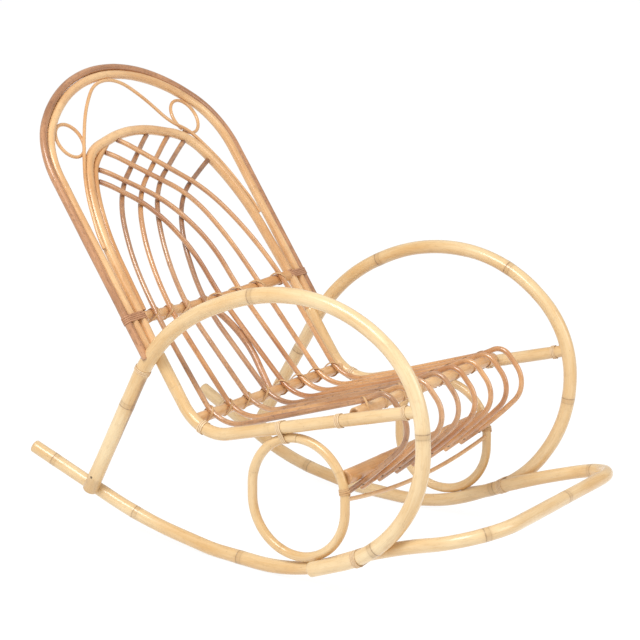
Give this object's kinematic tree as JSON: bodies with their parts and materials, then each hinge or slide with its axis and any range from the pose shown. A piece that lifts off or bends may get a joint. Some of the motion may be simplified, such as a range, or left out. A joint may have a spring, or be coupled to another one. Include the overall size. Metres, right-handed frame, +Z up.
{
  "type": "rattan rocking chair",
  "caption": "Low rattan rocking chair of bent round poles: hooped arms, crossed back ribs running into the seat, arched back and a curved floor runner.",
  "frame": {"origin": "on the floor under the middle of the chair's length and width", "axes": "+Z up, +Y to the rear of the chair, +X to the sitter's left"},
  "size_m": [0.6142, 1.107, 0.8542],
  "materials": {
    "pale_cane": "varnished pale rattan pole",
    "golden_cane": "varnished golden rattan pole",
    "brown_cane": "varnished brown rattan pole",
    "peel": "rattan peel, satin",
    "nail": "dulled steel nail head"
  },
  "bodies": {
    "root": {"back_crossbar": "golden_cane", "bowed_strand": "golden_cane", "centre_strut": "brown_cane", "front_seat_crossbar": "golden_cane", "hoop_left": "pale_cane", "hoop_right": "pale_cane", "inner_arch": "golden_cane", "lashings_hoop_leg": "peel", "lashings_lower_crossbar": "peel", "liner": "golden_cane", "lower_crossbar": "golden_cane", "nails_hoop_feet": "nail", "nails_rib_ends": "nail", "outer_arch": "golden_cane", "pointed_strand": "golden_cane", "rear_seat_crossbar": "golden_cane", "rib_1": "brown_cane", "rib_2": "brown_cane", "rib_3": "brown_cane", "rib_4": "brown_cane", "rib_5": "brown_cane", "rib_6": "brown_cane", "rib_7": "brown_cane", "rib_8": "brown_cane", "rib_lashings_back": "peel", "rib_lashings_front": "peel", "rib_lashings_rear": "peel", "runner": "pale_cane", "scroll_ring_left": "golden_cane", "scroll_ring_right": "golden_cane", "seat_rail_left": "pale_cane", "seat_rail_right": "pale_cane", "side_ring_left": "golden_cane", "side_ring_right": "golden_cane", "straps_back_crossbar": "peel", "straps_front_crossbar": "peel", "straps_rear_corner": "peel", "straps_side_ring": "peel", "trim_arch": "brown_cane", "windings_rail": "peel", "windings_runner": "peel"}
  },
  "joints": []
}
